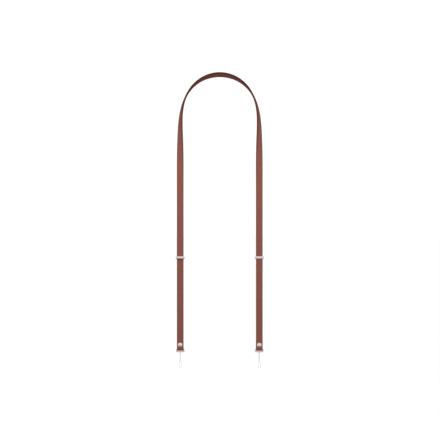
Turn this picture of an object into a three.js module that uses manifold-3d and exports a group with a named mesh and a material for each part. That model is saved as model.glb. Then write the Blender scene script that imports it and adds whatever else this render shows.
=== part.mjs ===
// A crossbody strap: two woven bands lie one on the other round the shoulder, and two
// metal sliders hold them together where they overlap. Each band ends in a riveted fold
// round a metal end ring, from which a thin cord loop hangs.
//
// Millimetres, +Z up, -Y is the front. The strap hangs by the middle of its arch: the
// origin is the centre of the arch's underside, at its top.
import * as THREE from "three";
import { mergeVertices } from "three/addons/utils/BufferGeometryUtils.js";
import Module from "manifold-3d";

const wasm = await Module();
wasm.setup();

// ---- driving dimensions ----
const CLEARANCE = 0.3; // between pieces that touch on the real strap
const ROUND_SIDES = 24; // flats round a stud or a hole

const BAND = {
  width: 11.5,
  thickness: 1.4,
  edge: 0.4, // how far the woven edges are rounded
  tailAboveStud: 6.5, // the folded end reaches this far above the stud
};

const ARCH = {
  legSpacing: 136, // between the centre lines of the two hanging legs
  roundShare: 0.28, // share of each half of the arch that keeps one bend radius
};

// Each leg turns a quarter turn between its face-on lower part and the arch.
const TWIST = { angle: 90, starts: 45, ends: 243 };
// The top of the arch leans back a little more than that, front edge up.
const LEAN = { angle: 24.5, ends: 70 };

const SLIDER = {
  z: -313,
  width: 16.2,
  depth: 6.1,
  height: 4.4,
  corner: 2.6,
  rounding: 1.2, // height of the rounded rim
  inset: 0.4, // how far the rim draws in
  bandEnd: 1.3, // the held end of a band stops this far below the slider's middle
};

const RING = {
  foldBottomZ: -473, // lowest point of the folded band
  barRadius: 0.75, // upper bar, inside the fold
  width: 14.6,
  armWidth: 1.25,
  lowerBarHeight: 2.4,
  lowerBarDepth: 3,
  frameCorner: 1,
  windowCorner: 0.4, // corners of the frame's opening
  frameRounding: 0.6, // edges of the frame that passes through the fold
  barCorner: 1.2,
  barRounding: 0.3,
};

const STUD = {
  z: -463.2,
  headRadius: 3.95,
  headEdge: 0.4,
  domeRise: 0.8,
  postRadius: 1.5,
  backRadius: 3.5,
  backThickness: 0.7,
};

const CORD = { diameter: 0.9, sides: 8, steps: 64, socketDepth: 1.6 };

// The cord loops' routes, measured from the middle of the end ring's underside: down the
// left strand, round the open tip and back up the right strand.
const CORD_ROUTES = {
  left: [
    [-0.5, 0, 1.3],
    [-0.5, 0, 0],
    [-0.47, -0.18, -2],
    [-0.42, -0.38, -4.5],
    [-0.41, -0.45, -7.5],
    [-0.42, -0.45, -10.5],
    [-0.5, -0.42, -13],
    [-0.78, -0.32, -15],
    [-1.13, -0.2, -17],
    [-1.36, -0.1, -19.2],
    [-1.45, -0.05, -21.5],
    [-1.46, 0, -23.6],
    [-1.45, 0, -25.57],
    [-1.2, 0, -26.48],
    [-0.54, 0, -27.15],
    [0.38, 0, -27.4],
    [1.29, 0, -27.15],
    [1.96, 0, -26.48],
    [2.21, 0, -25.57],
    [2.24, 0.03, -23.4],
    [2.18, 0.08, -21],
    [1.9, 0.15, -18.8],
    [1.36, 0.26, -16.8],
    [0.76, 0.36, -15],
    [0.34, 0.42, -13],
    [0.16, 0.45, -10.5],
    [0.15, 0.45, -7.5],
    [0.26, 0.38, -4.5],
    [0.43, 0.18, -2],
    [0.5, 0, 0],
    [0.5, 0, 1.3],
  ],
  right: [
    [-0.5, 0, 1.3],
    [-0.5, 0, 0],
    [-0.51, 0.14, -2],
    [-0.53, 0.3, -4.5],
    [-0.55, 0.36, -7.5],
    [-0.58, 0.36, -10.5],
    [-0.7, 0.34, -13],
    [-0.92, 0.28, -15],
    [-1.22, 0.19, -17],
    [-1.52, 0.1, -19.2],
    [-1.7, 0.05, -21.5],
    [-1.77, 0, -23.6],
    [-1.77, 0, -25.47],
    [-1.51, 0, -26.43],
    [-0.8, 0, -27.14],
    [0.17, 0, -27.4],
    [1.13, 0, -27.14],
    [1.84, 0, -26.43],
    [2.1, 0, -25.47],
    [2.13, -0.03, -23.4],
    [2.05, -0.08, -21.3],
    [1.74, -0.13, -19.3],
    [1.19, -0.21, -17.5],
    [0.63, -0.29, -15.6],
    [0.36, -0.34, -13.2],
    [0.3, -0.36, -10.5],
    [0.32, -0.36, -7.5],
    [0.4, -0.3, -4.5],
    [0.47, -0.14, -2],
    [0.5, 0, 0],
    [0.5, 0, 1.3],
  ],
};

// ---- sizes that follow from them ----
const legX = ARCH.legSpacing / 2;
const layerOffset = (BAND.thickness + CLEARANCE) / 2; // band's middle to the pair's middle
const pairThickness = 2 * BAND.thickness + CLEARANCE;
const foldRadius = RING.barRadius + CLEARANCE + BAND.thickness / 2; // band's middle, round the bar
const foldZ = RING.foldBottomZ + foldRadius + BAND.thickness / 2;
const tailGap = BAND.thickness + CLEARANCE; // middle to middle of the folded layers at the stud
const lowerBarTop = RING.foldBottomZ - CLEARANCE - foldZ; // from the upper bar's centre
const ringBottom = lowerBarTop - RING.lowerBarHeight;
const leanedAngle = THREE.MathUtils.degToRad(TWIST.angle + LEAN.angle);
const topZ = pairThickness / 2 / Math.sin(leanedAngle); // puts the origin on the underside

const bandCloth = new THREE.MeshStandardMaterial({
  color: 0x88584b,
  roughness: 0.85,
  metalness: 0,
});
const steel = new THREE.MeshStandardMaterial({
  color: 0xd4cbc8,
  roughness: 0.3,
  metalness: 1,
});
const cordFibre = new THREE.MeshStandardMaterial({
  color: 0xe8e3de,
  roughness: 0.8,
  metalness: 0,
});

// ---- solids ----
function toSolid(geometry) {
  const bare = geometry.clone();
  bare.deleteAttribute("normal");
  bare.deleteAttribute("uv");
  const merged = mergeVertices(bare, 1e-4);
  return new wasm.Manifold(
    new wasm.Mesh({
      numProp: 3,
      vertProperties: merged.attributes.position.array,
      triVerts: new Uint32Array(merged.index.array),
    }),
  );
}

function toGeometry(solid) {
  const mesh = solid.getMesh();
  const geometry = new THREE.BufferGeometry();
  geometry.setAttribute("position", new THREE.BufferAttribute(mesh.vertProperties, 3));
  geometry.setIndex(new THREE.BufferAttribute(mesh.triVerts, 1));
  return geometry.toNonIndexed();
}

function namedMesh(name, geometry, material) {
  geometry.computeVertexNormals();
  const mesh = new THREE.Mesh(geometry, material);
  mesh.name = name;
  return mesh;
}

// A rectangle with round corners, from low to high in the shape's own plane.
function roundedRectangle(path, lowX, lowY, highX, highY, radius) {
  path.moveTo(lowX + radius, lowY);
  path.lineTo(highX - radius, lowY);
  path.absarc(highX - radius, lowY + radius, radius, -Math.PI / 2, 0);
  path.lineTo(highX, highY - radius);
  path.absarc(highX - radius, highY - radius, radius, 0, Math.PI / 2);
  path.lineTo(lowX + radius, highY);
  path.absarc(lowX + radius, highY - radius, radius, Math.PI / 2, Math.PI);
  path.lineTo(lowX, lowY + radius);
  path.absarc(lowX + radius, lowY + radius, radius, Math.PI, 1.5 * Math.PI);
  return path;
}

// ---- the middle line of the strap ----
// u runs from 0 at the top of the arch to 1 where the leg hangs straight.

// The bend is constant over the round share and then fades out as half a cosine wave:
// this is its running total, as the slope from level.
function slopeAt(u) {
  const round = ARCH.roundShare;
  const fade = Math.max(u - round, 0) / (1 - round);
  const faded = ((1 - round) / 2) * (fade + Math.sin(Math.PI * fade) / Math.PI);
  return (Math.PI / (1 + round)) * (Math.min(u, round) + faded);
}

// Simpson's rule from 0 to end.
function integral(fn, end) {
  const steps = 96;
  const h = end / steps;
  let sum = fn(0) + fn(end);
  for (let i = 1; i < steps; i++) sum += fn(i * h) * (i % 2 ? 4 : 2);
  return (sum * h) / 3;
}

const acrossAt = (u) => integral((v) => Math.cos(slopeAt(v)), u);
const dropAt = (u) => integral((v) => Math.sin(slopeAt(v)), u);
const archHalf = legX / acrossAt(1); // length of half the arch
const archBottomZ = topZ - archHalf * dropAt(1);

// How far the strap has turned from face-on, at a distance from the top.
function turnAt(distance) {
  const twisted = 1 - THREE.MathUtils.smoothstep(distance, TWIST.starts, TWIST.ends);
  const leaned = 1 - THREE.MathUtils.smoothstep(distance, 0, LEAN.ends);
  return THREE.MathUtils.degToRad(TWIST.angle * twisted + LEAN.angle * leaned);
}

// Point, direction towards +X over the top, and face normal at a signed distance from
// the top of the arch, positive on the right.
function midline(signedDistance) {
  const side = signedDistance < 0 ? -1 : 1;
  const distance = Math.abs(signedDistance);
  const u = Math.min(distance / archHalf, 1);
  const straight = Math.max(distance - archHalf, 0);
  const slope = slopeAt(u);
  const turn = turnAt(distance);
  const outward = new THREE.Vector3(side * Math.sin(slope), 0, Math.cos(slope));
  return {
    point: new THREE.Vector3(
      side * archHalf * acrossAt(u),
      0,
      topZ - archHalf * dropAt(u) - straight,
    ),
    along: new THREE.Vector3(Math.cos(slope), 0, -side * Math.sin(slope)),
    face: outward.multiplyScalar(Math.sin(turn)).setY(-Math.cos(turn)),
  };
}

// ---- bands ----
const distanceAt = (z) => archHalf + archBottomZ - z; // on a straight leg

// Distances from the top at which half a band has a section.
function halfSections() {
  const zones = [
    { until: archHalf, steps: 30 },
    { until: TWIST.ends, steps: 18 },
  ];
  const distances = [0];
  for (const { until, steps } of zones) {
    const from = distances.at(-1);
    for (let i = 1; i <= steps; i++) distances.push(from + ((until - from) * i) / steps);
  }
  return distances;
}

// The sections of one band, from the end that its slider holds, over the arch, and down
// to the fold on the given side: 1 is right, -1 left.
function bandStations(side, offset) {
  const stations = [];
  const add = (point, along) => {
    // Past the arch the band bends only front to back, and its normal follows.
    stations.push({ point, along, face: new THREE.Vector3(0, along.z, -along.y) });
  };

  const half = halfSections();
  const heldEnd = distanceAt(SLIDER.z - SLIDER.bandEnd);
  const distances = [-heldEnd, ...half.toReversed().map((d) => -d), ...half.slice(1)];
  for (const distance of distances) {
    const { point, along, face } = midline(side * distance);
    point.addScaledVector(face, offset);
    stations.push({ point, along: along.multiplyScalar(side), face });
  }

  const x = side * legX;
  const frontY = -offset;
  const foldSteps = 12;
  for (let i = 0; i <= foldSteps; i++) {
    const angle = (Math.PI * i) / foldSteps;
    const y = frontY + foldRadius * (1 - Math.cos(angle));
    const z = foldZ - foldRadius * Math.sin(angle);
    add(new THREE.Vector3(x, y, z), new THREE.Vector3(0, Math.sin(angle), -Math.cos(angle)));
  }

  // Behind the ring the folded end closes up to the layer in front before the stud.
  const closingHeight = STUD.z - STUD.headRadius - foldZ;
  const closing = 2 * foldRadius - tailGap;
  const closingSteps = 6;
  for (let i = 1; i <= closingSteps; i++) {
    const t = i / closingSteps;
    const y = frontY + 2 * foldRadius - closing * THREE.MathUtils.smoothstep(t, 0, 1);
    const lean = (-closing * 6 * t * (1 - t)) / closingHeight;
    add(
      new THREE.Vector3(x, y, foldZ + closingHeight * t),
      new THREE.Vector3(0, lean, 1).normalize(),
    );
  }
  const tailTop = new THREE.Vector3(x, frontY + tailGap, STUD.z + BAND.tailAboveStud);
  add(tailTop, new THREE.Vector3(0, 0, 1));

  // Both bands are laid from left to right, so that their twisted faces split alike and
  // keep their clearance.
  if (side < 0) {
    stations.reverse();
    for (const { along } of stations) along.negate();
  }
  return stations;
}

// A path whose sections stand exactly at the given stations.
class BandPath extends THREE.Curve {
  constructor(stations) {
    super();
    this.stations = stations;
  }
  getSpacedPoints() {
    return this.stations.map(({ point }) => point);
  }
  computeFrenetFrames() {
    return {
      tangents: this.stations.map(({ along }) => along),
      normals: this.stations.map(({ face }) => face),
      binormals: this.stations.map(({ along, face }) => along.clone().cross(face)),
    };
  }
}

function bandGeometry(side, offset) {
  const stations = bandStations(side, offset);
  const thick = BAND.thickness / 2;
  const wide = BAND.width / 2;
  const section = new THREE.Shape([
    new THREE.Vector2(-thick, -wide + BAND.edge),
    new THREE.Vector2(-thick + BAND.edge, -wide),
    new THREE.Vector2(thick - BAND.edge, -wide),
    new THREE.Vector2(thick, -wide + BAND.edge),
    new THREE.Vector2(thick, 0),
    new THREE.Vector2(thick, wide - BAND.edge),
    new THREE.Vector2(thick - BAND.edge, wide),
    new THREE.Vector2(-thick + BAND.edge, wide),
    new THREE.Vector2(-thick, wide - BAND.edge),
    new THREE.Vector2(-thick, 0),
  ]);
  const band = new THREE.ExtrudeGeometry(section, {
    steps: stations.length - 1,
    extrudePath: new BandPath(stations),
    bevelEnabled: false,
  });
  const holeRadius = STUD.postRadius + CLEARANCE;
  const holeLength = 4 * foldRadius; // through both layers of the fold
  const hole = new THREE.CylinderGeometry(holeRadius, holeRadius, holeLength, ROUND_SIDES);
  hole.translate(side * legX, -offset + foldRadius, STUD.z);
  return toGeometry(toSolid(band).subtract(toSolid(hole)));
}

// ---- hardware ----
function sliderGeometry() {
  const { width, depth, height, corner, rounding, inset } = SLIDER;
  const outline = new THREE.Shape();
  roundedRectangle(outline, -width / 2, -depth / 2, width / 2, depth / 2, corner);
  const passX = BAND.width / 2 + CLEARANCE;
  const passY = pairThickness / 2 + CLEARANCE;
  outline.holes.push(
    roundedRectangle(new THREE.Path(), -passX, -passY, passX, passY, BAND.edge),
  );
  const slider = new THREE.ExtrudeGeometry(outline, {
    depth: height - 2 * rounding,
    curveSegments: 2,
    bevelThickness: rounding,
    bevelSize: inset,
    bevelOffset: -inset,
    bevelSegments: 4,
  });
  return slider.translate(0, 0, -height / 2 + rounding);
}

// A plate of the given depth in the upright plane, from a shape whose y is up.
function uprightPlate(shape, depth, rounding) {
  const plate = new THREE.ExtrudeGeometry(shape, {
    depth: depth - 2 * rounding,
    curveSegments: 2,
    bevelThickness: rounding,
    bevelSize: rounding,
    bevelOffset: -rounding,
    bevelSegments: 2,
  });
  plate.translate(0, 0, -depth / 2 + rounding);
  return plate.rotateX(Math.PI / 2);
}

// The end ring about the centre of its upper bar: a thin frame that passes through the
// fold, with a deeper bar below it and a socket under that for the cord.
function endRingGeometry() {
  const { barRadius, frameCorner, windowCorner, barCorner } = RING;
  const half = RING.width / 2;
  const innerHalf = half - RING.armWidth;
  const frame = new THREE.Shape();
  roundedRectangle(frame, -half, ringBottom, half, barRadius, frameCorner);
  const window = new THREE.Path();
  roundedRectangle(window, -innerHalf, lowerBarTop, innerHalf, -barRadius, windowCorner);
  frame.holes.push(window);
  const bar = new THREE.Shape();
  roundedRectangle(bar, -half, ringBottom, half, lowerBarTop, barCorner);

  const strandOffset = CORD_ROUTES.left[0][0];
  const socketWidth = 2 * (Math.abs(strandOffset) + CLEARANCE) + CORD.diameter;
  const socketDepth = CORD.diameter + 2 * CLEARANCE;
  const socket = new THREE.BoxGeometry(socketWidth, socketDepth, 2 * CORD.socketDepth);
  socket.translate(0, 0, ringBottom);

  const ring = toSolid(uprightPlate(frame, 2 * barRadius, RING.frameRounding))
    .add(toSolid(uprightPlate(bar, RING.lowerBarDepth, RING.barRounding)))
    .subtract(toSolid(socket));
  return toGeometry(ring);
}

// The stud about the middle of the front layer: a domed head, a post through both layers
// and a flat cap behind them.
function studGeometry() {
  const headBack = -BAND.thickness / 2 - CLEARANCE;
  const headFront = headBack - STUD.headEdge;
  const capFront = tailGap + BAND.thickness / 2 + CLEARANCE;
  const capBack = capFront + STUD.backThickness;
  const domeRadius = (STUD.headRadius ** 2 + STUD.domeRise ** 2) / (2 * STUD.domeRise);
  const domeAngle = Math.asin(STUD.headRadius / domeRadius);
  const domeSteps = 5;
  const profile = [];
  for (let i = 0; i <= domeSteps; i++) {
    const angle = (domeAngle * i) / domeSteps;
    const y = headFront - STUD.domeRise + domeRadius * (1 - Math.cos(angle));
    profile.push(new THREE.Vector2(domeRadius * Math.sin(angle), y));
  }
  profile.push(
    new THREE.Vector2(STUD.headRadius, headBack),
    new THREE.Vector2(STUD.postRadius, headBack),
    new THREE.Vector2(STUD.postRadius, capFront),
    new THREE.Vector2(STUD.backRadius, capFront),
    new THREE.Vector2(STUD.backRadius, capBack),
    new THREE.Vector2(0, capBack),
  );
  return new THREE.LatheGeometry(profile, ROUND_SIDES);
}

function cordGeometry(route) {
  const path = new THREE.CatmullRomCurve3(route.map((p) => new THREE.Vector3(...p)));
  const section = new THREE.Shape();
  section.absarc(0, 0, CORD.diameter / 2, 0, 2 * Math.PI);
  return new THREE.ExtrudeGeometry(section, {
    steps: CORD.steps,
    curveSegments: CORD.sides / 2,
    extrudePath: path,
    bevelEnabled: false,
  });
}

// ---- assembly ----
const strap = new THREE.Group();

// Each end's band lies on its own side of the pair: the outer band folds on the right,
// the inner one on the left.
const ENDS = [
  { name: "left", side: -1, band: "band_inner", offset: -layerOffset },
  { name: "right", side: 1, band: "band_outer", offset: layerOffset },
];

for (const { name, side, band, offset } of ENDS) {
  strap.add(namedMesh(band, bandGeometry(side, offset), bandCloth));

  const slider = namedMesh(`slider_${name}`, sliderGeometry(), steel);
  slider.position.set(side * legX, 0, SLIDER.z);
  strap.add(slider);

  const end = new THREE.Group();
  end.position.set(side * legX, -offset, 0);
  strap.add(end);

  const ring = namedMesh(`end_ring_${name}`, endRingGeometry(), steel);
  ring.position.set(0, foldRadius, foldZ);
  const cord = namedMesh(`cord_loop_${name}`, cordGeometry(CORD_ROUTES[name]), cordFibre);
  cord.position.set(0, foldRadius, foldZ + ringBottom);
  const stud = namedMesh(`stud_${name}`, studGeometry(), steel);
  stud.position.z = STUD.z;
  end.add(ring, cord, stud);
}

export default strap;
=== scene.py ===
"""The looks of the crossbody strap: its two woven bands, braided cord loops and satin steel
hardware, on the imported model's frame, with a studio round them.

Sizes are in millimetres, as the solids have them, and meshes are made in metres. +Z is up
and -Y is the front. The origin is the centre of the arch's underside, at its top.
"""

import math

import bmesh
import bpy
import numpy as np
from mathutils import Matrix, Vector


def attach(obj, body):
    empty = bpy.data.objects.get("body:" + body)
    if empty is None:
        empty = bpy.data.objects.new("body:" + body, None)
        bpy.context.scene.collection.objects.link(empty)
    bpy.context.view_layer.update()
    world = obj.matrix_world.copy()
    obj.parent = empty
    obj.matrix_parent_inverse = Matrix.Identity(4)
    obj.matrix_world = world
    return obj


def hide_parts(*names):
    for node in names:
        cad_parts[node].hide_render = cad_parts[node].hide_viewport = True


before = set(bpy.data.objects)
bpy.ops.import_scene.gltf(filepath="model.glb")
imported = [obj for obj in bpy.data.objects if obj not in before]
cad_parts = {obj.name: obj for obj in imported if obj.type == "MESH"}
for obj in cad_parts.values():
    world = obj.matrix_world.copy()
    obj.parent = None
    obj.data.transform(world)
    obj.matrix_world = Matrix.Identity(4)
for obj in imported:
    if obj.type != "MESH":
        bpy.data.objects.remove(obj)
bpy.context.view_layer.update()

MM = 0.001

# ---- the solids' sizes ----
CLEARANCE = 0.3
LEG_X = 68
BAND_WIDTH = 11.5
BAND_THICKNESS = 1.4
BAND_EDGE = 0.4
TAIL_ABOVE_STUD = 6.5

ARCH_ROUND_SHARE = 0.28  # of each half of the arch, before its bend fades into the leg
TWIST_ANGLE, TWIST_STARTS, TWIST_ENDS = 90, 45, 243  # distances from the arch's top
LEAN_ANGLE, LEAN_ENDS = 24.5, 70  # more turn at the top, gone by this distance

SLIDER_Z = -313
SLIDER_HALF_WIDTH = 8.1
SLIDER_HALF_DEPTH = 3.05
SLIDER_HEIGHT = 4.4
SLIDER_CORNER = 2.6
HELD_BAND_END = 1.3  # below the slider's middle

FOLD_BOTTOM_Z = -473
BAR_RADIUS = 0.75
RING_HALF_WIDTH = 7.3
ARM_WIDTH = 1.25
LOWER_BAR_HEIGHT = 2.4
LOWER_BAR_HALF_DEPTH = 1.5
SOCKET_DEPTH = 1.6

STUD_Z = -463.2
STUD_HEAD_RADIUS = 3.95
STUD_RIM = 0.4
STUD_DOME_RISE = 0.8
STUD_BACK_RADIUS = 3.5
STUD_BACK_THICKNESS = 0.7

CORD_DIAMETER = 0.9

# The cord loops' routes, from the middle of the end ring's underside.
CORD_ROUTES = {
    "left": [
        (-0.5, 0, 1.3),
        (-0.5, 0, 0),
        (-0.47, -0.18, -2),
        (-0.42, -0.38, -4.5),
        (-0.41, -0.45, -7.5),
        (-0.42, -0.45, -10.5),
        (-0.5, -0.42, -13),
        (-0.78, -0.32, -15),
        (-1.13, -0.2, -17),
        (-1.36, -0.1, -19.2),
        (-1.45, -0.05, -21.5),
        (-1.46, 0, -23.6),
        (-1.45, 0, -25.57),
        (-1.2, 0, -26.48),
        (-0.54, 0, -27.15),
        (0.38, 0, -27.4),
        (1.29, 0, -27.15),
        (1.96, 0, -26.48),
        (2.21, 0, -25.57),
        (2.24, 0.03, -23.4),
        (2.18, 0.08, -21),
        (1.9, 0.15, -18.8),
        (1.36, 0.26, -16.8),
        (0.76, 0.36, -15),
        (0.34, 0.42, -13),
        (0.16, 0.45, -10.5),
        (0.15, 0.45, -7.5),
        (0.26, 0.38, -4.5),
        (0.43, 0.18, -2),
        (0.5, 0, 0),
        (0.5, 0, 1.3),
    ],
    "right": [
        (-0.5, 0, 1.3),
        (-0.5, 0, 0),
        (-0.51, 0.14, -2),
        (-0.53, 0.3, -4.5),
        (-0.55, 0.36, -7.5),
        (-0.58, 0.36, -10.5),
        (-0.7, 0.34, -13),
        (-0.92, 0.28, -15),
        (-1.22, 0.19, -17),
        (-1.52, 0.1, -19.2),
        (-1.7, 0.05, -21.5),
        (-1.77, 0, -23.6),
        (-1.77, 0, -25.47),
        (-1.51, 0, -26.43),
        (-0.8, 0, -27.14),
        (0.17, 0, -27.4),
        (1.13, 0, -27.14),
        (1.84, 0, -26.43),
        (2.1, 0, -25.47),
        (2.13, -0.03, -23.4),
        (2.05, -0.08, -21.3),
        (1.74, -0.13, -19.3),
        (1.19, -0.21, -17.5),
        (0.63, -0.29, -15.6),
        (0.36, -0.34, -13.2),
        (0.3, -0.36, -10.5),
        (0.32, -0.36, -7.5),
        (0.4, -0.3, -4.5),
        (0.47, -0.14, -2),
        (0.5, 0, 0),
        (0.5, 0, 1.3),
    ],
}

# ---- sizes that follow from them ----
LAYER_OFFSET = (BAND_THICKNESS + CLEARANCE) / 2
PAIR_THICKNESS = 2 * BAND_THICKNESS + CLEARANCE
FOLD_RADIUS = BAR_RADIUS + CLEARANCE + BAND_THICKNESS / 2
FOLD_Z = FOLD_BOTTOM_Z + FOLD_RADIUS + BAND_THICKNESS / 2
TAIL_GAP = BAND_THICKNESS + CLEARANCE
LOWER_BAR_TOP = FOLD_BOTTOM_Z - CLEARANCE - FOLD_Z  # from the upper bar's centre
RING_BOTTOM = LOWER_BAR_TOP - LOWER_BAR_HEIGHT
TOP_Z = PAIR_THICKNESS / 2 / math.sin(math.radians(TWIST_ANGLE + LEAN_ANGLE))

# Each end's band lies on its own side of the pair.
ENDS = {
    "left": {"side": -1, "band": "inner", "offset": -LAYER_OFFSET},
    "right": {"side": 1, "band": "outer", "offset": LAYER_OFFSET},
}

# ---- detail that the solids leave out ----
BAND_CROWN = 0.155  # how far each face of a band rises at its middle
STATION_STEP = 1.2  # between the sections of a band
FOLD_STEPS = 24
TAIL_STEPS = 24
SELVEDGE_SHARE = 0.7  # of the band's rounded edge, over which the woven edge comes in

WARPS_ROUND = 40  # yarns along the band, counted round its section
YARN_FLOAT = 1.7  # how far a yarn shows before it dips under
FLOAT_POWERS = 2, 2.6  # how sharply a yarn's float rounds off, aside and onward
WEAVE_DEPTH = 0.07
EDGE_SHADE_FADES_BY = -70  # the height by which the painted shade on the woven edges over the arch has faded, leaving them as on the legs

CARRIERS = 8  # yarns in the braid, half of them each way round
BRAID_LAY = 3.2  # one turn of a yarn round the cord
BRAID_STEPS = 24  # sections to a turn
BRAID_WAVE = 0.035  # how far a yarn goes over and under
YARN_HALF_WIDTH = 0.17
YARN_HALF_THICKNESS = 0.075
YARN_SIDES = 8
CORE_OVERLAP = 0.02  # how far the core reaches into the yarns
CORE_STEP = 6  # sections of a yarn to each section of the core
FIBRE_DEPTH = 0.015
SPLINE_STEPS = 40  # to each point of a cord's route, before they are made even

FRAME_ROUNDING = 0.6  # edges of the ring's frame
FRAME_CORNER = 2  # of its outside
FRAME_LIFT = 0.5  # how far its outside stops above the lower bar's underside
WINDOW_CORNER = 0.4
CRADLE_RISE = 0.5  # how far the ring's lower bar comes up round the fold
BAR_DEPTHS = [0, 0.03, 0.1, 0.2, 0.35, 0.55, 0.8, 1.05, 1.25]  # of its levels
BAR_ROUNDINGS = 1.2, 0.45  # of the bar's lower edges, at its ends and on its faces
RIM_ROUNDINGS = 0.7, 0.25  # of its upper edges
BAR_CORNER_INSET = 0.35  # how far its corners are short of half round
HOLLOW_LEVELS = [(1.2, 0.9, 0.55, 0.2), (1.6, 0.5, 0.2, 0.4)]  # inset, half depth, corner, drop
SOCKET_HALF_WIDTH = 1.25
SOCKET_HALF_DEPTH = 0.75
SOCKET_CORNER = 0.7
SOCKET_MOUTH = [(0, SOCKET_DEPTH), (0, 0.2), (0.06, 0.06), (0.2, 0)]  # flare, height

SLIDER_RISE = 0.25  # how much higher the slider's upper rim stands
SLIDER_END_INSET = 1.7  # how far the rounded rim draws in at the ends
SLIDER_FACE_INSET = 0.65  # and on the front and back
SLIDER_CORNER_INSET = 0.8  # and how much sharper its corners grow
SLIDER_RIM_ROUNDING = 0.25

TOUCH = 0.05  # how close the stud's caps come to the cloth
STUD_HEAD_EDGE = 0.3
STUD_BACK_EDGE = 0.25
STUD_BACK_RISE = 0.12  # how far the back cap is domed
CAP_HOLLOW = 0.4  # where the last ring of a cap's back lies, as a share of its radius
STUD_SIDES = 72

LOOP_STEPS = 8, 10, 4  # round a corner, along x and along y, in a slider or ring's outline
BAR_STEPS = 6, 8, 2  # and in the lower bar's
SHARP_ANGLE = 50  # degrees between faces, over which an edge is sharp
MAP_GAP = 0.8  # between the columns of a map for baking
CAP_RADIUS = 1  # of a strip's ends on that map
BAKE_MAP = "OFBake"
CLOTH_MAP = "Cloth"
SELVEDGE = "selvedge"  # the attribute that is 1 on a band's woven edges

# ---- tones, each pair from its darkest to its palest ----
# the darker end also carries the painted shade in the dips between yarn floats
CLOTH_TONES = (0.136, 0.0480, 0.0337), (0.239, 0.0985, 0.0733)
WORN_TONE = (0.200, 0.0688, 0.0487)
LEG_EDGE_TONES = (0.070, 0.023, 0.0150), (0.130, 0.046, 0.0310)
# painted shade: the woven edges over the arch, darker than their own tone on the legs
ARCH_EDGE_PAINTED_SHADE_TONES = (0.030, 0.0065, 0.0036), (0.062, 0.0132, 0.0074)
CORD_TONES = (0.62, 0.575, 0.535), (0.86, 0.815, 0.77)
FLOOR_TONES = (0.93, 0.93, 0.93), (0.95, 0.95, 0.95)
# One satin steel throughout: the ring's warmer, pinker tone is painted reflection of the brown
# band round it, not a different metal.
STEEL_TONES = {
    "slider_steel": (0.66, 0.60, 0.585),
    "ring_steel": (0.65, 0.54, 0.515),
    "stud_steel": (0.68, 0.62, 0.605),
}
STEEL_SPREAD = 0.9, 1.08  # the darkest and palest of a steel, as shares of its tone
STEEL_GRAIN = (60, 2500, 2500)  # coarse along the brushed lines, fine across them
GRAIN_DEPTH = 0.004

# ---- studio, in metres ----
VIEW_CENTRE = Vector((0.00045, 0, -0.2483))
VIEW_DISTANCE = 1.6
VIEW_WIDTH = 0.7568
SENSOR = 36
FLOOR_Z = -0.85
FLOOR_RINGS = [0.5, 1, 2, 4, 8, 16, 32]
FLOOR_SIDES = 64
KEY_PLACE = (0, -0.4, 0)
KEY_SIZE = 0.35
KEY_POWER = 1.2
SKY_STRENGTH = 1.08
SKY_BELOW = 0.12  # share of it that comes from straight below
SKY_LOW, SKY_HIGH = -0.9, -0.05  # heights of the direction between which it fades
SKY_WARMTH = (1, 1.35, 1.45)  # powers of the share: the dimmer, the warmer


def smoothstep(x, low, high):
    t = np.clip((x - low) / (high - low), 0, 1)
    return t * t * (3 - 2 * t)


def unit(vectors):
    return vectors / np.linalg.norm(vectors, axis=1)[:, None]


# ---- the middle line of the strap ----
def slope_at(u):
    """The arch's slope from level, from its top at u = 0 to the straight leg at u = 1."""
    fade = np.maximum(u - ARCH_ROUND_SHARE, 0) / (1 - ARCH_ROUND_SHARE)
    faded = (1 - ARCH_ROUND_SHARE) / 2 * (fade + np.sin(np.pi * fade) / np.pi)
    return np.pi / (1 + ARCH_ROUND_SHARE) * (np.minimum(u, ARCH_ROUND_SHARE) + faded)


def running_total(values):
    steps = (values[1:] + values[:-1]) / 2 / (len(values) - 1)
    return np.concatenate([[0], np.cumsum(steps)])


U_TABLE = np.linspace(0, 1, 4001)
ACROSS_TABLE = running_total(np.cos(slope_at(U_TABLE)))
DROP_TABLE = running_total(np.sin(slope_at(U_TABLE)))
ARCH_HALF = LEG_X / ACROSS_TABLE[-1]
ARCH_BOTTOM_Z = TOP_Z - ARCH_HALF * DROP_TABLE[-1]


def turn_at(distance):
    """How far the strap has turned from face-on, at a distance from the arch's top."""
    twisted = 1 - smoothstep(distance, TWIST_STARTS, TWIST_ENDS)
    leaned = 1 - smoothstep(distance, 0, LEAN_ENDS)
    return np.radians(TWIST_ANGLE * twisted + LEAN_ANGLE * leaned)


def midline(signed_distance):
    """Points, directions towards +X over the top, and face normals at signed distances
    from the arch's top, positive on the right."""
    side = np.where(signed_distance < 0, -1, 1)
    distance = np.abs(signed_distance)
    u = np.minimum(distance / ARCH_HALF, 1)
    straight = np.maximum(distance - ARCH_HALF, 0)
    slope = slope_at(u)
    turn = turn_at(distance)
    nothing = np.zeros_like(u)
    x = side * ARCH_HALF * np.interp(u, U_TABLE, ACROSS_TABLE)
    z = TOP_Z - ARCH_HALF * np.interp(u, U_TABLE, DROP_TABLE) - straight
    point = np.stack([x, nothing, z], 1)
    along = np.stack([np.cos(slope), nothing, -side * np.sin(slope)], 1)
    face = np.stack(
        [
            side * np.sin(slope) * np.sin(turn),
            -np.cos(turn),
            np.cos(slope) * np.sin(turn),
        ],
        1,
    )
    return point, along, face


def distance_at(z):
    """Distance from the arch's top on a straight leg."""
    return ARCH_HALF + ARCH_BOTTOM_Z - z


def hanging_stations(side, offset):
    """Points, directions and face normals from the end that the slider holds, over the
    arch and down to the fold."""
    start = -distance_at(SLIDER_Z - HELD_BAND_END)
    end = distance_at(FOLD_Z)
    count = round((end - start) / STATION_STEP)
    distance = np.linspace(start, end, count + 1)
    point, along, face = midline(side * distance)
    return point + offset * face, side * along, face


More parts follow.
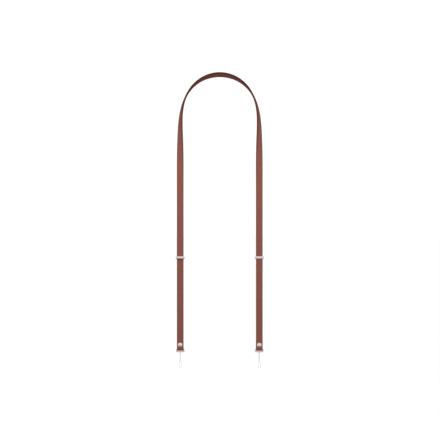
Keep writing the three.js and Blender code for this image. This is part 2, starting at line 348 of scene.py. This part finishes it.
def fold_stations(x, front_y):
    """Round the ring's upper bar."""
    angle = np.linspace(0, np.pi, FOLD_STEPS + 1)[1:]
    y = front_y + FOLD_RADIUS * (1 - np.cos(angle))
    z = FOLD_Z - FOLD_RADIUS * np.sin(angle)
    point = np.stack([np.full_like(y, x), y, z], 1)
    along = np.stack([np.zeros_like(y), np.sin(angle), -np.cos(angle)], 1)
    return point, along


def tail_stations(x, front_y):
    """Up behind the front layer, closing up to it before the stud, to the cut end."""
    closing_height = STUD_Z - STUD_HEAD_RADIUS - FOLD_Z
    closing = 2 * FOLD_RADIUS - TAIL_GAP
    height = STUD_Z + TAIL_ABOVE_STUD - FOLD_Z
    rise = np.linspace(0, height, TAIL_STEPS + 1)[1:]
    t = np.clip(rise / closing_height, 0, 1)
    y = front_y + 2 * FOLD_RADIUS - closing * smoothstep(t, 0, 1)
    lean = -closing * 6 * t * (1 - t) / closing_height
    point = np.stack([np.full_like(y, x), y, FOLD_Z + rise], 1)
    along = np.stack([np.zeros_like(y), lean, np.ones_like(y)], 1)
    return point, unit(along)


def band_stations(side, offset):
    """Points, directions and face normals of a whole band's middle."""
    x = side * LEG_X
    hanging, hanging_along, hanging_face = hanging_stations(side, offset)
    fold, fold_along = fold_stations(x, -offset)
    tail, tail_along = tail_stations(x, -offset)
    point = np.concatenate([hanging, fold, tail])
    turned_along = np.concatenate([fold_along, tail_along])
    turned_face = np.stack(
        [np.zeros(len(turned_along)), turned_along[:, 2], -turned_along[:, 1]], 1
    )
    along = np.concatenate([hanging_along, turned_along])
    return point, along, np.concatenate([hanging_face, turned_face])


# ---- meshes ----
def rounded_rectangle(half_x, half_y, radius, arc_steps, x_steps=1, y_steps=1):
    """Points round a rounded rectangle, counter-clockwise."""
    points = []
    corners = [(1, 1, x_steps), (-1, 1, y_steps), (-1, -1, x_steps), (1, -1, y_steps)]
    for quarter, (side_x, side_y, steps) in enumerate(corners):
        centre = np.array([side_x * (half_x - radius), side_y * (half_y - radius)])
        for i in range(arc_steps + 1):
            angle = math.pi / 2 * (quarter + i / arc_steps)
            points.append(centre + radius * np.array([math.cos(angle), math.sin(angle)]))
        next_x, next_y, _ = corners[(quarter + 1) % 4]
        angle = math.pi / 2 * (quarter + 1)
        centre = np.array([next_x * (half_x - radius), next_y * (half_y - radius)])
        corner = centre + radius * np.array([math.cos(angle), math.sin(angle)])
        last = points[-1]
        points += [last + (corner - last) * i / steps for i in range(1, steps)]
    return np.array(points)


def circle(sides):
    """Points round a circle of radius one."""
    angle = 2 * np.pi * np.arange(sides) / sides
    return np.stack([np.cos(angle), np.sin(angle)], 1)


def level_ring(outline, z):
    return np.column_stack([outline, np.full(len(outline), z)])


def quads_between(count, sides, first=0, closed=False):
    """Faces of a loft through count rings of that many points."""
    last = count if closed else count - 1
    i, j = np.meshgrid(np.arange(last), np.arange(sides), indexing="ij")
    after = (j + 1) % sides
    above = (i + 1) % count
    corners = [i * sides + j, i * sides + after, above * sides + after, above * sides + j]
    return first + np.stack(corners, -1).reshape(-1, 4)


def make_object(name, points, faces, maps=()):
    mesh = bpy.data.meshes.new(name)
    mesh.from_pydata((np.asarray(points) * MM).tolist(), [], faces)
    for map_name, places in maps:
        layer = mesh.uv_layers.new(name=map_name)
        layer.uv.foreach_set("vector", places.astype(np.float32).ravel())
    outward = bmesh.new()
    outward.from_mesh(mesh)
    bmesh.ops.recalc_face_normals(outward, faces=outward.faces)
    outward.to_mesh(mesh)
    outward.free()
    mesh.shade_smooth()
    mesh.set_sharp_from_angle(angle=math.radians(SHARP_ANGLE))
    obj = bpy.data.objects.new(name, mesh)
    bpy.context.scene.collection.objects.link(obj)
    return obj


def loft(name, parts):
    """An object of one or more lofts, each given as its rings and whether they close up."""
    points, faces, first = [], [], 0
    for rings, closed in parts:
        rings = np.array(rings)
        count, sides, _ = rings.shape
        faces += quads_between(count, sides, first, closed).tolist()
        if not closed:
            faces.append([first + j for j in range(sides)])
            faces.append([first + (count - 1) * sides + j for j in range(sides)])
        points.append(rings.reshape(-1, 3))
        first += count * sides
    return make_object(name, np.concatenate(points), faces)


def strips(name, tubes, columns):
    """An object of closed tubes, each given as its rings and the lengths round and along
    it. The cloth map holds those lengths. The map for baking lays each tube out as
    columns, side by side in a square, with the caps above them."""
    pitch = max(around[-1] for _, around, _ in tubes) + MAP_GAP
    height = max(along[-1] for _, _, along in tubes) / columns
    cap_y = height + 3 * MAP_GAP + CAP_RADIUS
    square = max(len(tubes) * columns * pitch + MAP_GAP, cap_y + CAP_RADIUS + MAP_GAP)
    points, faces, cloth, packed, first = [], [], [], [], 0
    for number, (rings, around, along) in enumerate(tubes):
        count, sides, _ = rings.shape
        faces += quads_between(count, sides, first).tolist()
        i, j = np.meshgrid(np.arange(count - 1), np.arange(sides), indexing="ij")
        u = np.stack([around[j], around[j + 1], around[j + 1], around[j]], -1)
        v = np.stack([along[i], along[i], along[i + 1], along[i + 1]], -1)
        column = np.minimum(v.mean(-1, keepdims=True) // height, columns - 1)
        across = u + MAP_GAP + (number * columns + column) * pitch
        cloth.append(np.stack([u, v], -1).reshape(-1, 2))
        packed.append(np.stack([across, v - column * height + MAP_GAP], -1).reshape(-1, 2))
        for end, ring in enumerate((0, count - 1)):
            faces.append([first + ring * sides + k for k in range(sides)])
            centre = np.array([(2 * number + end + 1) * (2 * CAP_RADIUS + MAP_GAP), cap_y])
            cloth.append(CAP_RADIUS * circle(sides))
            packed.append(CAP_RADIUS * circle(sides) + centre)
        points.append(rings.reshape(-1, 3))
        first += count * sides
    maps = [(CLOTH_MAP, np.concatenate(cloth)), (BAKE_MAP, np.concatenate(packed) / square)]
    return make_object(name, np.concatenate(points), faces, maps)


def lengths(points):
    """Running length along a row of points."""
    return np.concatenate([[0], np.cumsum(np.linalg.norm(np.diff(points, axis=0), axis=1))])


def lengths_round(section):
    """Running length round a closed section, back to its first point."""
    return lengths(np.concatenate([section, section[:1]]))


def sweep(section, point, first_axis, second_axis):
    """Rings of a section carried along a line, its columns laid along the two axes."""
    return (
        point[:, None]
        + first_axis[:, None] * section[None, :, :1]
        + second_axis[:, None] * section[None, :, 1:]
    )


# ---- bands ----
def band_section():
    """The section as columns of normal and width, with each face a little crowned."""
    section = rounded_rectangle(
        BAND_THICKNESS / 2, BAND_WIDTH / 2, BAND_EDGE, arc_steps=4, x_steps=1, y_steps=10
    )
    crown = BAND_CROWN * (1 - (section[:, 1] / (BAND_WIDTH / 2)) ** 2)
    section[:, 0] += np.sign(section[:, 0]) * crown
    return section


def make_band(name, side, offset):
    point, along, face = band_stations(side, offset)
    section = band_section()
    rings = sweep(section, point, face, np.cross(along, face))
    tube = (rings, lengths_round(section), lengths(point))
    band = strips(name, [tube], columns=6)
    past_face = np.abs(section[:, 1]) - (BAND_WIDTH / 2 - BAND_EDGE)
    selvedge = np.clip(past_face / (SELVEDGE_SHARE * BAND_EDGE), 0, 1)
    attribute = band.data.attributes.new(SELVEDGE, "FLOAT", "POINT")
    attribute.data.foreach_set("value", np.tile(selvedge, len(point)).astype(np.float32))
    return band


# ---- cord loops ----
def spline(route, steps):
    """A smooth line through the route's points, in even steps, and its directions."""
    knots = lengths(route)
    slopes = np.gradient(route, knots, axis=0)
    dense = np.linspace(0, knots[-1], SPLINE_STEPS * len(route))
    k = np.clip(np.searchsorted(knots, dense, side="right") - 1, 0, len(route) - 2)
    span = (knots[k + 1] - knots[k])[:, None]
    t = (dense[:, None] - knots[k][:, None]) / span
    line = (
        (2 * t**3 - 3 * t**2 + 1) * route[k]
        + (t**3 - 2 * t**2 + t) * span * slopes[k]
        + (3 * t**2 - 2 * t**3) * route[k + 1]
        + (t**3 - t**2) * span * slopes[k + 1]
    )
    run = lengths(line)
    even = np.linspace(0, run[-1], steps)
    point = np.stack([np.interp(even, run, line[:, axis]) for axis in range(3)], 1)
    return point, unit(np.gradient(point, axis=0)), even


def cross_axes(along):
    """Two directions across a line, the first of them level with the front."""
    side = unit(np.cross(along, [0, 1, 0]))
    return side, np.cross(side, along)


def braid_yarn(point, along, even, carrier):
    """One yarn of the braid: half of them wind each way, over one and under one."""
    way = 1 if carrier % 2 else -1
    wave = 2 * np.pi * even / BRAID_LAY
    start = 2 * np.pi * (carrier // 2) / (CARRIERS // 2)
    angle = way * wave + start
    middle = CORD_DIAMETER / 2 - YARN_HALF_THICKNESS - BRAID_WAVE
    radius = middle + way * BRAID_WAVE * np.cos(CARRIERS / 2 * wave)

    side, up = cross_axes(along)
    outward = np.cos(angle)[:, None] * side + np.sin(angle)[:, None] * up
    line = point + radius[:, None] * outward
    direction = unit(np.gradient(line, axis=0))
    across = unit(np.cross(direction, outward))
    flat = circle(YARN_SIDES) * [YARN_HALF_WIDTH, YARN_HALF_THICKNESS]
    rings = sweep(flat, line, across, np.cross(across, direction))
    return rings, lengths_round(flat), lengths(line)


def braid_core(point, along, even):
    """A plain round core that closes the gaps between the yarns."""
    radius = CORD_DIAMETER / 2 - 2 * YARN_HALF_THICKNESS - 2 * BRAID_WAVE + CORE_OVERLAP
    side, up = cross_axes(along)
    ring = radius * circle(YARN_SIDES)
    rings = sweep(ring, point, side, up)
    return rings[::CORE_STEP], lengths_round(ring), even[::CORE_STEP]


def make_cord(name, side, offset, route):
    origin = np.array([side * LEG_X, FOLD_RADIUS - offset, FOLD_Z + RING_BOTTOM])
    route = np.array(route, float)
    steps = round(lengths(route)[-1] / BRAID_LAY * BRAID_STEPS) + 1
    point, along, even = spline(route + origin, steps)
    tubes = [braid_yarn(point, along, even, carrier) for carrier in range(CARRIERS)]
    tubes.append(braid_core(point, along, even))
    cord = strips(name, tubes, columns=3)
    return cord


# ---- hardware ----
def make_slider(name, side):
    """A loop round both bands: its outside swells, and its rims are rounded."""
    half = SLIDER_HEIGHT / 2
    pass_x = BAND_WIDTH / 2 + CLEARANCE
    pass_y = PAIR_THICKNESS / 2 + CLEARANCE
    levels = []
    for angle in np.linspace(-np.pi / 2, np.pi / 2, 17):
        drawn = 1 - math.cos(angle)
        half_x = SLIDER_HALF_WIDTH - SLIDER_END_INSET * drawn
        half_y = SLIDER_HALF_DEPTH - SLIDER_FACE_INSET * drawn
        corner = SLIDER_CORNER - SLIDER_CORNER_INSET * drawn
        levels.append((half_x, half_y, corner, half * math.sin(angle)))
    for way in (1, -1):
        for angle in np.linspace(0, np.pi / 2, 5)[::way]:
            in_by = SLIDER_RIM_ROUNDING * (1 - math.sin(angle))
            down = SLIDER_RIM_ROUNDING * (1 - math.cos(angle))
            z = way * (half - down)
            levels.append((pass_x + in_by, pass_y + in_by, BAND_EDGE + in_by, z))
    rings = []
    for half_x, half_y, corner, z in levels:
        outline = rounded_rectangle(half_x, half_y, corner, *LOOP_STEPS)
        rise = SLIDER_RISE if z > 0 else 0
        rings.append(level_ring(outline, z + rise) + [side * LEG_X, 0, SLIDER_Z])
    return loft(name, [(rings, True)])


def rounding(depth, radius):
    """How far a rounded edge draws in, at a depth from the face."""
    if depth >= radius:
        return 0
    return radius - math.sqrt(radius**2 - (radius - depth) ** 2)


def upright_ring(half_x, high, low, corner, grown, y):
    """A rounded rectangle in the upright plane at y, grown on all its sides."""
    half_z = (high - low) / 2
    corner += grown / 2
    outline = rounded_rectangle(half_x + grown, half_z + grown, corner, *LOOP_STEPS)
    z = outline[:, 1] + (high + low) / 2
    return np.stack([outline[:, 0], np.full(len(outline), y), z], 1)


def ring_frame(centre):
    """The thin frame that passes through the fold: its outside, then its window."""
    outside = (RING_HALF_WIDTH, BAR_RADIUS, RING_BOTTOM + FRAME_LIFT, FRAME_CORNER)
    window = (
        RING_HALF_WIDTH - ARM_WIDTH,
        -BAR_RADIUS,
        LOWER_BAR_TOP - FRAME_ROUNDING,
        WINDOW_CORNER,
    )
    levels = []
    for angle in np.linspace(-np.pi / 2, np.pi / 2, 9):
        drawn = FRAME_ROUNDING * (1 - math.cos(angle))
        straight = (BAR_RADIUS - FRAME_ROUNDING) * np.sign(angle)
        levels.append((drawn, FRAME_ROUNDING * math.sin(angle) + straight))
    rings = [upright_ring(*outside, -drawn, y) for drawn, y in levels]
    rings += [upright_ring(*window, drawn, y) for drawn, y in reversed(levels)]
    return [ring + centre for ring in rings]


def bar_level(depth, end_rounding, face_rounding, z):
    """Half sizes, corner radius and height of the lower bar, at a depth from its upper or
    lower face."""
    half_x = RING_HALF_WIDTH - rounding(depth, end_rounding)
    half_y = LOWER_BAR_HALF_DEPTH - rounding(depth, face_rounding)
    return half_x, half_y, half_y - BAR_CORNER_INSET, z


def ring_bar(centre):
    """The deeper lower bar: the socket that takes the cord's ends, the rounded lower edge,
    and the upper rim, with the hollow that the fold rests in."""
    levels = [
        (
            SOCKET_HALF_WIDTH + flare,
            SOCKET_HALF_DEPTH + flare,
            SOCKET_CORNER + flare,
            RING_BOTTOM + height,
        )
        for flare, height in SOCKET_MOUTH
    ]
    rim_z = LOWER_BAR_TOP + CRADLE_RISE
    levels += [bar_level(depth, *BAR_ROUNDINGS, RING_BOTTOM + depth) for depth in BAR_DEPTHS]
    levels += [bar_level(depth, *RIM_ROUNDINGS, rim_z - depth) for depth in BAR_DEPTHS[-2::-1]]
    for inset, half_y, corner, drop in HOLLOW_LEVELS:
        levels.append((RING_HALF_WIDTH - inset, half_y, corner, rim_z - drop))
    rings = []
    for half_x, half_y, corner, z in levels:
        outline = rounded_rectangle(half_x, half_y, corner, *BAR_STEPS)
        rings.append(level_ring(outline, z) + centre)
    return rings


def make_end_ring(name, side, offset):
    centre = np.array([side * LEG_X, FOLD_RADIUS - offset, FOLD_Z])
    return loft(name, [(ring_frame(centre), True), (ring_bar(centre), False)])


def stud_cap(radius, rim_y, dome_rise, back_y, edge):
    """Profile of a domed cap as radius and y, from the middle of the dome. The dome faces
    away from back_y."""
    way = 1 if back_y > rim_y else -1
    inner = radius - edge
    profile = []
    for share in np.linspace(0.02, 1, 12):
        rise = dome_rise * (1 - share**2)
        profile.append((inner * share, rim_y - way * rise))
    for angle in np.linspace(0.2, np.pi / 2, 6):
        out = edge * math.sin(angle)
        profile.append((inner + out, rim_y + way * edge * (1 - math.cos(angle))))
    profile += [(radius, back_y), (CAP_HOLLOW * radius, back_y)]
    return profile


def make_stud(name, side, offset):
    """A domed head in front of the fold's two layers and a flat cap behind them."""
    half = BAND_THICKNESS / 2
    head_rim = -half - CLEARANCE - STUD_RIM
    head_back = -half - TOUCH
    head = stud_cap(STUD_HEAD_RADIUS, head_rim, STUD_DOME_RISE, head_back, STUD_HEAD_EDGE)
    cap_back = TAIL_GAP + half + CLEARANCE + STUD_BACK_THICKNESS
    cap_rim = cap_back - STUD_BACK_RISE
    cap_front = TAIL_GAP + half + TOUCH
    cap = stud_cap(STUD_BACK_RADIUS, cap_rim, STUD_BACK_RISE, cap_front, STUD_BACK_EDGE)
    turn = circle(STUD_SIDES)
    middle = np.array([side * LEG_X, -offset, STUD_Z])
    parts = []
    for profile in (head, cap):
        rings = [
            np.stack([r * turn[:, 0], np.full(STUD_SIDES, y), r * turn[:, 1]], 1) + middle
            for r, y in profile
        ]
        parts.append((rings, False))
    return loft(name, parts)


# ---- materials ----
class Nodes:
    """Short calls for building a material's nodes round its Principled shader."""

    def __init__(self, name):
        self.material = bpy.data.materials.new(name)
        self.material.use_nodes = True
        self.tree = self.material.node_tree
        self.shader = self.tree.nodes["Principled BSDF"]

    def add(self, kind, **settings):
        node = self.tree.nodes.new(kind)
        for key, value in settings.items():
            setattr(node, key, value)
        return node

    def link(self, source, target):
        self.tree.links.new(source, target)

    def feed(self, socket, value):
        """Link a socket, or set a plain value."""
        if isinstance(value, bpy.types.NodeSocket):
            self.link(value, socket)
        else:
            socket.default_value = value

    def math(self, operation, *values):
        node = self.add("ShaderNodeMath", operation=operation)
        for socket, value in zip(node.inputs, values):
            self.feed(socket, value)
        return node.outputs[0]

    def spread(self, value, low, high, from_low=0.0, from_high=1.0):
        """Takes one range, 0 to 1 unless given, to another."""
        node = self.add("ShaderNodeMapRange")
        self.feed(node.inputs["Value"], value)
        node.inputs["From Min"].default_value = from_low
        node.inputs["From Max"].default_value = from_high
        node.inputs["To Min"].default_value = low
        node.inputs["To Max"].default_value = high
        return node.outputs["Result"]

    def noise(self, place, scale, detail=2, roughness=0.5):
        node = self.add("ShaderNodeTexNoise")
        self.feed(node.inputs["Vector"], place)
        node.inputs["Scale"].default_value = scale
        node.inputs["Detail"].default_value = detail
        node.inputs["Roughness"].default_value = roughness
        return node.outputs["Fac"]

    def mix(self, share, first, second):
        """Between two colours: the node's sockets 6 and 7, with the mix in socket 2."""
        node = self.add("ShaderNodeMix", data_type="RGBA")
        self.feed(node.inputs["Factor"], share)
        self.feed(node.inputs[6], first)
        self.feed(node.inputs[7], second)
        return node.outputs[2]

    def between(self, share, tones):
        """Between the darkest and the palest of a pair of tones."""
        return self.mix(share, *(opaque(tone) for tone in tones))

    def combine(self, x, y, z=0.0):
        node = self.add("ShaderNodeCombineXYZ")
        for socket, value in zip(node.inputs, (x, y, z)):
            self.feed(socket, value)
        return node.outputs[0]

    def place(self):
        return self.add("ShaderNodeTexCoord").outputs["Object"]

    def stretched(self, scale):
        node = self.add("ShaderNodeMapping")
        self.link(self.place(), node.inputs["Vector"])
        node.inputs["Scale"].default_value = scale
        return node.outputs["Vector"]

    def separate(self, vector):
        node = self.add("ShaderNodeSeparateXYZ")
        self.link(vector, node.inputs[0])
        return node.outputs

    def cloth_place(self):
        """Millimetres round and along a strip."""
        place = self.separate(self.add("ShaderNodeUVMap", uv_map=CLOTH_MAP).outputs["UV"])
        return place["X"], place["Y"]

    def bump(self, height, depth, strength=1.0):
        node = self.add("ShaderNodeBump")
        node.inputs["Distance"].default_value = depth * MM
        node.inputs["Strength"].default_value = strength
        self.link(height, node.inputs["Height"])
        self.link(node.outputs["Normal"], self.shader.inputs["Normal"])

    def set(self, **values):
        for key, value in values.items():
            self.feed(self.shader.inputs[key.replace("_", " ")], value)


def opaque(tone):
    return (*tone, 1.0)


def weave(nodes, around, along, perimeter):
    """The yarn and the float that a place lies on, and how high the oval float stands
    there. Yarns run along the band, and each starts half a float after the one beside it."""
    warp = nodes.math("DIVIDE", around, perimeter / WARPS_ROUND)
    number = nodes.math("FLOOR", warp)
    across = nodes.math("SUBTRACT", nodes.math("FRACT", warp), 0.5)
    shift = nodes.math("MULTIPLY", number, 0.5)
    run = nodes.math("ADD", nodes.math("DIVIDE", along, YARN_FLOAT), shift)
    step = nodes.math("FLOOR", run)
    down = nodes.math("SUBTRACT", nodes.math("FRACT", run), 0.5)

    oval = 1
    for place, power in zip((across, down), FLOAT_POWERS):
        off_middle = nodes.math("ABSOLUTE", nodes.math("MULTIPLY", place, 2))
        oval = nodes.math("SUBTRACT", oval, nodes.math("POWER", off_middle, power))
    return number, step, nodes.math("POWER", nodes.math("MAXIMUM", oval, 0), 0.5)


def woven_band(perimeter):
    """Tightly woven yarn, a little worn in patches. The woven edges are darker, and painted
    shade darkens them further towards the arch's top, fading out by the top of the legs."""
    nodes = Nodes("woven_band")
    around, along = nodes.cloth_place()
    number, step, height = weave(nodes, around, along, perimeter)
    yarn = nodes.add("ShaderNodeTexWhiteNoise", noise_dimensions="2D")
    nodes.link(nodes.combine(number, step), yarn.inputs["Vector"])
    fibre_place = nodes.combine(
        nodes.math("MULTIPLY", around, 9), nodes.math("MULTIPLY", along, 1.4)
    )
    fibre = nodes.noise(fibre_place, 1.0, 3, 0.6)
    patches = nodes.noise(nodes.place(), 45, 3)

    # The float's height darkens the dips between yarn floats: painted shade. Fibre and yarn
    # noise add the yarn's own uneven tone.
    shade = nodes.math("MULTIPLY_ADD", height, 0.54, nodes.math("MULTIPLY", fibre, 0.35))
    shade = nodes.math("MULTIPLY_ADD", yarn.outputs["Value"], 0.2, shade)
    face = nodes.between(shade, CLOTH_TONES)
    worn = nodes.mix(nodes.spread(patches, 0, 0.25), face, opaque(WORN_TONE))
    # painted shade: the woven edges turn to the darker arch tones towards the arch's top
    arch_shade_share = nodes.spread(nodes.separate(nodes.place())["Z"], 0, 1, EDGE_SHADE_FADES_BY * MM, 0)
    leg_edge = nodes.between(shade, LEG_EDGE_TONES)
    arch_edge_painted_shade = nodes.between(shade, ARCH_EDGE_PAINTED_SHADE_TONES)
    selvedge = nodes.add("ShaderNodeAttribute", attribute_name=SELVEDGE).outputs["Fac"]
    nodes.set(
        Base_Color=nodes.mix(selvedge, worn, nodes.mix(arch_shade_share, leg_edge, arch_edge_painted_shade)),
        Roughness=nodes.spread(fibre, 0.72, 0.92),
        Specular_IOR_Level=0.05,
    )
    nodes.bump(height, WEAVE_DEPTH, 0.7)
    return nodes.material


def satin_steel(name, tone):
    """Steel with fine lines, brushed from side to side."""
    nodes = Nodes(name)
    lines = nodes.noise(nodes.stretched(STEEL_GRAIN), 1.0, 4, 0.6)
    cloudy = nodes.noise(nodes.place(), 260, 2)
    shade = nodes.math("MULTIPLY_ADD", lines, 0.6, nodes.math("MULTIPLY", cloudy, 0.4))
    tones = [[share * part for part in tone] for share in STEEL_SPREAD]
    nodes.set(
        Base_Color=nodes.between(shade, tones),
        Metallic=1.0,
        Roughness=nodes.spread(shade, 0.22, 0.42),
    )
    nodes.bump(lines, GRAIN_DEPTH, 0.6)
    return nodes.material


def braided_yarn():
    """Off-white filament yarn, its fibres a little slanted in each yarn."""
    nodes = Nodes("loop_cord")
    around, along = nodes.cloth_place()
    slanted = nodes.math("MULTIPLY_ADD", along, 0.5, around)
    fibre_place = nodes.combine(
        nodes.math("MULTIPLY", slanted, 14), nodes.math("MULTIPLY", along, 1.2)
    )
    fibres = nodes.noise(fibre_place, 1.0, 3, 0.6)
    patches = nodes.noise(nodes.place(), 500, 2)
    shade = nodes.math("MULTIPLY_ADD", fibres, 0.7, nodes.math("MULTIPLY", patches, 0.3))
    nodes.set(
        Base_Color=nodes.between(shade, CORD_TONES),
        Roughness=nodes.spread(fibres, 0.55, 0.8),
        Specular_IOR_Level=0.4,
        Sheen_Weight=0.15,
    )
    nodes.bump(fibres, FIBRE_DEPTH, 0.5)
    return nodes.material


# ---- studio ----
def make_camera():
    data = bpy.data.cameras.new("camera")
    data.sensor_width = SENSOR
    data.lens = SENSOR * VIEW_DISTANCE / VIEW_WIDTH
    camera = bpy.data.objects.new("camera", data)
    camera.location = VIEW_CENTRE + Vector((0, -VIEW_DISTANCE, 0))
    camera.rotation_euler = (math.pi / 2, 0, 0)
    bpy.context.scene.collection.objects.link(camera)
    bpy.context.scene.camera = camera


def add_area_light(name, place, size, power):
    data = bpy.data.lights.new(name, "AREA")
    data.shape = "DISK"
    data.size = size
    data.energy = power
    light = bpy.data.objects.new(name, data)
    light.location = place
    light.visible_camera = False
    light.visible_glossy = False
    light.rotation_euler = (VIEW_CENTRE - Vector(place)).to_track_quat("-Z", "Y").to_euler()
    bpy.context.scene.collection.objects.link(light)


def make_world():
    """White from the horizon up. Below it, where the floor hides it from view, it turns
    dark and warm."""
    world = bpy.data.worlds.new("studio")
    world.use_nodes = True
    tree = world.node_tree
    background = tree.nodes["Background"]
    direction = tree.nodes.new("ShaderNodeTexCoord")
    parts = tree.nodes.new("ShaderNodeSeparateXYZ")
    share = tree.nodes.new("ShaderNodeMapRange")
    share.interpolation_type = "SMOOTHSTEP"
    share.inputs["From Min"].default_value = SKY_LOW
    share.inputs["From Max"].default_value = SKY_HIGH
    share.inputs["To Min"].default_value = SKY_BELOW
    tree.links.new(direction.outputs["Generated"], parts.inputs[0])
    tree.links.new(parts.outputs["Z"], share.inputs["Value"])
    light = tree.nodes.new("ShaderNodeCombineColor")
    for channel, warmth in zip(light.inputs, SKY_WARMTH):
        power = tree.nodes.new("ShaderNodeMath")
        power.operation = "POWER"
        power.inputs[1].default_value = warmth
        tree.links.new(share.outputs["Result"], power.inputs[0])
        tree.links.new(power.outputs[0], channel)
    tree.links.new(light.outputs["Color"], background.inputs["Color"])
    background.inputs["Strength"].default_value = SKY_STRENGTH
    bpy.context.scene.world = world


def make_floor():
    """A plain pale floor. It takes the strap's shadow but throws no light back up at it."""
    points = [level_ring(r * circle(FLOOR_SIDES), FLOOR_Z) for r in FLOOR_RINGS]
    faces = quads_between(len(FLOOR_RINGS), FLOOR_SIDES).tolist()
    faces.append(list(range(FLOOR_SIDES)))
    floor = make_object("floor", np.concatenate(points) / MM, faces)
    nodes = Nodes("pale_floor")
    mottled = nodes.noise(nodes.place(), 6, 2)
    nodes.set(
        Base_Color=nodes.between(mottled, FLOOR_TONES),
        Roughness=0.9,
        Specular_IOR_Level=0.0,
    )
    floor.data.materials.append(nodes.material)
    floor.visible_diffuse = False
    floor.visible_glossy = False
    floor.visible_shadow = False


def settle(piece, node, material):
    """The piece stands for its solid, moves with the strap and takes its finish."""
    piece.data.materials.append(material)
    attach(piece, "root")
    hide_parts(node)


# ---- assembly ----
make_camera()

cord_material = braided_yarn()
for end, facts in ENDS.items():
    cord = make_cord(f"braided_loop_{end}", facts["side"], facts["offset"], CORD_ROUTES[end])
    settle(cord, f"cord_loop_{end}", cord_material)

band_material = woven_band(perimeter=lengths_round(band_section())[-1])
steel = {slot: satin_steel(slot, tone) for slot, tone in STEEL_TONES.items()}

for end, facts in ENDS.items():
    side, offset = facts["side"], facts["offset"]
    band = make_band(f"woven_band_{facts['band']}", side, offset)
    settle(band, f"band_{facts['band']}", band_material)
    slider = make_slider(f"rounded_slider_{end}", side)
    settle(slider, f"slider_{end}", steel["slider_steel"])
    ring = make_end_ring(f"formed_ring_{end}", side, offset)
    settle(ring, f"end_ring_{end}", steel["ring_steel"])
    stud = make_stud(f"domed_stud_{end}", side, offset)
    settle(stud, f"stud_{end}", steel["stud_steel"])

make_floor()
make_world()
add_area_light("key", KEY_PLACE, KEY_SIZE, KEY_POWER)
bpy.context.scene.view_settings.view_transform = "Standard"
